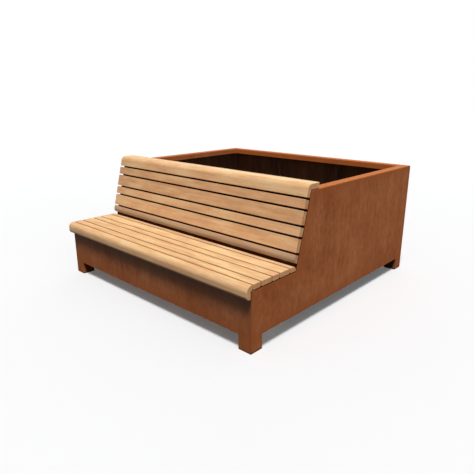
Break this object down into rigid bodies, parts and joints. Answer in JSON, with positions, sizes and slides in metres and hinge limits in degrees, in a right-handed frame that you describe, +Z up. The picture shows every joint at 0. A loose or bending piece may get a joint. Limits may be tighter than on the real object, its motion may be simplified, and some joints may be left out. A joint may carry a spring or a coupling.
{
  "type": "bench with planter",
  "caption": "Square planter of folded weathering steel whose front leans back behind a slatted hardwood bench with rounded front and top edges.",
  "frame": {"origin": "middle of the bounding box at ground level, on the ground between the four feet", "axes": "+X along the bench, to the right of someone who looks at it from the front; +Y from the bench's front to the planter's rear; +Z up"},
  "size_m": [2, 2.041, 0.941],
  "materials": {
    "weathering_steel": "natural rust patina, matt, fine mottling and faint upright runs",
    "dark_weathering_steel": "darker, damp rust patina, matt",
    "galvanised_steel": "hot-dip galvanised, dull",
    "hardwood": "planed blond hardwood, unvarnished, straight grain along the slat"
  },
  "bodies": {
    "root": {"side_panel_left": "weathering_steel", "side_panel_right": "weathering_steel", "front_panel": "weathering_steel", "rear_panel": "weathering_steel", "planter_wall": "weathering_steel", "planter_floor": "dark_weathering_steel", "rear_rib_left": "dark_weathering_steel", "rear_rib_right": "dark_weathering_steel", "floor_channel_1": "dark_weathering_steel", "floor_channel_2": "dark_weathering_steel", "floor_channel_3": "dark_weathering_steel", "floor_channel_4": "dark_weathering_steel", "foot_angle_front_left": "weathering_steel", "foot_angle_front_right": "weathering_steel", "foot_angle_rear_left": "weathering_steel", "foot_angle_rear_right": "weathering_steel", "base_plate_front_left": "galvanised_steel", "base_plate_front_right": "galvanised_steel", "base_plate_rear_left": "galvanised_steel", "base_plate_rear_right": "galvanised_steel", "seat_nose": "hardwood", "seat_slat_1": "hardwood", "seat_slat_2": "hardwood", "seat_slat_3": "hardwood", "seat_slat_4": "hardwood", "seat_slat_5": "hardwood", "back_slat_1": "hardwood", "back_slat_2": "hardwood", "back_slat_3": "hardwood", "back_slat_4": "hardwood", "back_slat_5": "hardwood", "back_top": "hardwood", "seat_channel_1": "galvanised_steel", "seat_strip_1": "galvanised_steel", "back_strip_1": "galvanised_steel", "seat_channel_2": "galvanised_steel", "seat_strip_2": "galvanised_steel", "back_strip_2": "galvanised_steel", "seat_channel_3": "galvanised_steel", "seat_strip_3": "galvanised_steel", "back_strip_3": "galvanised_steel", "seat_channel_4": "galvanised_steel", "seat_strip_4": "galvanised_steel", "back_strip_4": "galvanised_steel", "seat_channel_5": "galvanised_steel", "seat_strip_5": "galvanised_steel", "back_strip_5": "galvanised_steel"}
  },
  "joints": []
}
